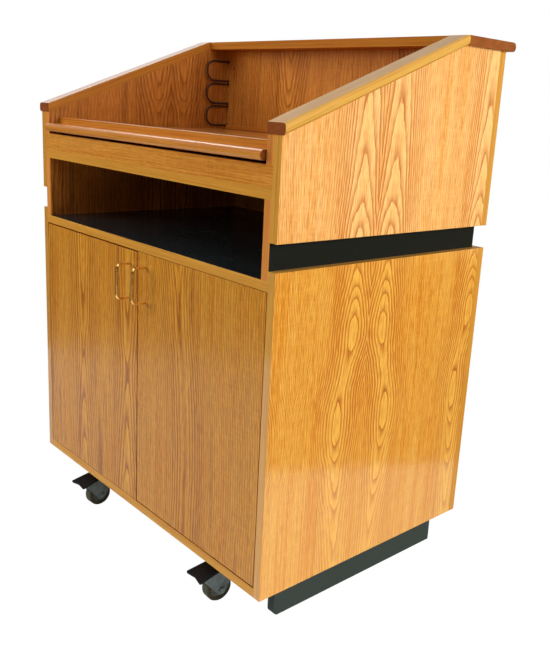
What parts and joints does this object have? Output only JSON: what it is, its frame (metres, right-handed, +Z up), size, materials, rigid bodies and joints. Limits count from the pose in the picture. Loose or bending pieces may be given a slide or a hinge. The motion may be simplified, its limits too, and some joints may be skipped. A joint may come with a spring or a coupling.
{
  "type": "host station",
  "caption": "Rolling host station: wood lectern cabinet with sloped sides, pull-out worktop, open shelf, two doors, cable rings and braked swivel casters.",
  "frame": {"origin": "on the floor, midway between the sides and between the cabinet's front and back", "axes": "+X to the right facing the doors, +Y to the back, +Z up"},
  "size_m": [0.914, 0.664, 1.187],
  "materials": {
    "oak": "clear satin lacquer on straight and cathedral grained oak",
    "oak_edge": "lacquered edge banding",
    "oak_inside": "satin, shaded inner faces",
    "black_laminate": "matt laminate",
    "black_plastic": "moulded, matt",
    "black_steel": "black powder coat",
    "brass": "polished",
    "zinc": "zinc plated",
    "rubber": "hard rubber tread"
  },
  "bodies": {
    "cabinet": {"carcass_back": "oak_inside", "bottom_panel": "oak_edge", "fixed_shelf": "oak_edge", "shelf_laminate": "black_laminate", "compartment_top": "oak_edge", "fascia": "oak", "inner_back": "oak_inside", "back_panel_lower": "oak", "back_panel_upper": "oak", "reveal_strip": "black_laminate", "back_cap": "oak_edge", "worktop_runners": "oak_inside", "back_trim": "oak_edge", "adjustable_shelf": "oak_inside", "shelf_pins": "zinc", "caster_blocks": "oak_inside", "caster_screws": "zinc", "carcass_side_left": "oak_edge", "side_panel_lower_left": "oak", "side_panel_upper_left": "oak", "side_cap_left": "oak_edge", "kick_left": "black_laminate", "hinge_arms_left": "zinc", "carcass_side_right": "oak_edge", "side_panel_lower_right": "oak", "side_panel_upper_right": "oak", "side_cap_right": "oak_edge", "kick_right": "black_laminate", "hinge_arms_right": "zinc", "cable_ring_lower": "black_steel", "cable_ring_middle": "black_steel", "cable_ring_upper": "black_steel", "caster_plate_front_left": "zinc", "caster_plate_front_right": "zinc", "caster_plate_rear_left": "zinc", "caster_plate_rear_right": "zinc"},
    "worktop": {"worktop": "oak", "worktop_lip": "oak"},
    "door_left": {"door_left": "oak", "pull_left": "brass", "hinge_cups_left": "zinc"},
    "door_right": {"door_right": "oak", "pull_right": "brass", "hinge_cups_right": "zinc"},
    "fork_front_left": {"caster_fork_front_left": "zinc", "caster_axle_front_left": "zinc"},
    "wheel_front_left": {"caster_wheel_front_left": "rubber"},
    "pedal_front_left": {"caster_pedal_front_left": "black_plastic"},
    "fork_front_right": {"caster_fork_front_right": "zinc", "caster_axle_front_right": "zinc"},
    "wheel_front_right": {"caster_wheel_front_right": "rubber"},
    "pedal_front_right": {"caster_pedal_front_right": "black_plastic"},
    "fork_rear_left": {"caster_fork_rear_left": "zinc", "caster_axle_rear_left": "zinc"},
    "wheel_rear_left": {"caster_wheel_rear_left": "rubber"},
    "pedal_rear_left": {"caster_pedal_rear_left": "black_plastic"},
    "fork_rear_right": {"caster_fork_rear_right": "zinc", "caster_axle_rear_right": "zinc"},
    "wheel_rear_right": {"caster_wheel_rear_right": "rubber"},
    "pedal_rear_right": {"caster_pedal_rear_right": "black_plastic"}
  },
  "joints": [
    {"name": "worktop_slide", "type": "slide", "parent": "cabinet", "child": "worktop", "axis": [0, -1, 0], "range_m": [0, 0.25]},
    {"name": "door_left_hinge", "type": "hinge", "parent": "cabinet", "child": "door_left", "pos_m": [-0.427, -0.304, 0.422], "axis": [0, 0, -1], "range_deg": [0, 110]},
    {"name": "door_right_hinge", "type": "hinge", "parent": "cabinet", "child": "door_right", "pos_m": [0.427, -0.304, 0.422], "axis": [0, 0, 1], "range_deg": [0, 110]},
    {"name": "swivel_front_left", "type": "hinge", "parent": "cabinet", "child": "fork_front_left", "pos_m": [-0.261, -0.238, 0.1], "axis": [0, 0, 1], "continuous": true},
    {"name": "wheel_spin_front_left", "type": "hinge", "parent": "fork_front_left", "child": "wheel_front_left", "pos_m": [-0.25926, -0.26294, 0.03], "axis": [0.9976, 0.0698, 0], "continuous": true},
    {"name": "brake_front_left", "type": "hinge", "parent": "fork_front_left", "child": "pedal_front_left", "pos_m": [-0.25671, -0.29935, 0.064], "axis": [0.9976, 0.0698, 0], "range_deg": [0, 18]},
    {"name": "swivel_front_right", "type": "hinge", "parent": "cabinet", "child": "fork_front_right", "pos_m": [0.261, -0.238, 0.1], "axis": [0, 0, 1], "continuous": true},
    {"name": "wheel_spin_front_right", "type": "hinge", "parent": "fork_front_right", "child": "wheel_front_right", "pos_m": [0.25947, -0.26295, 0.03], "axis": [0.9981, -0.061, 0], "continuous": true},
    {"name": "brake_front_right", "type": "hinge", "parent": "fork_front_right", "child": "pedal_front_right", "pos_m": [0.25725, -0.29939, 0.064], "axis": [0.9981, -0.061, 0], "range_deg": [0, 18]},
    {"name": "swivel_rear_left", "type": "hinge", "parent": "cabinet", "child": "fork_rear_left", "pos_m": [-0.261, 0.226, 0.1], "axis": [0, 0, 1], "continuous": true},
    {"name": "wheel_spin_rear_left", "type": "hinge", "parent": "fork_rear_left", "child": "wheel_rear_left", "pos_m": [-0.25495, 0.20174, 0.03], "axis": [0.9703, 0.2419, 0], "continuous": true},
    {"name": "brake_rear_left", "type": "hinge", "parent": "fork_rear_left", "child": "pedal_rear_left", "pos_m": [-0.24612, 0.16633, 0.064], "axis": [0.9703, 0.2419, 0], "range_deg": [0, 18]},
    {"name": "swivel_rear_right", "type": "hinge", "parent": "cabinet", "child": "fork_rear_right", "pos_m": [0.261, 0.226, 0.1], "axis": [0, 0, 1], "continuous": true},
    {"name": "wheel_spin_rear_right", "type": "hinge", "parent": "fork_rear_right", "child": "wheel_rear_right", "pos_m": [0.26705, 0.20174, 0.03], "axis": [0.9703, 0.2419, 0], "continuous": true},
    {"name": "brake_rear_right", "type": "hinge", "parent": "fork_rear_right", "child": "pedal_rear_right", "pos_m": [0.27588, 0.16633, 0.064], "axis": [0.9703, 0.2419, 0], "range_deg": [0, 18]}
  ]
}
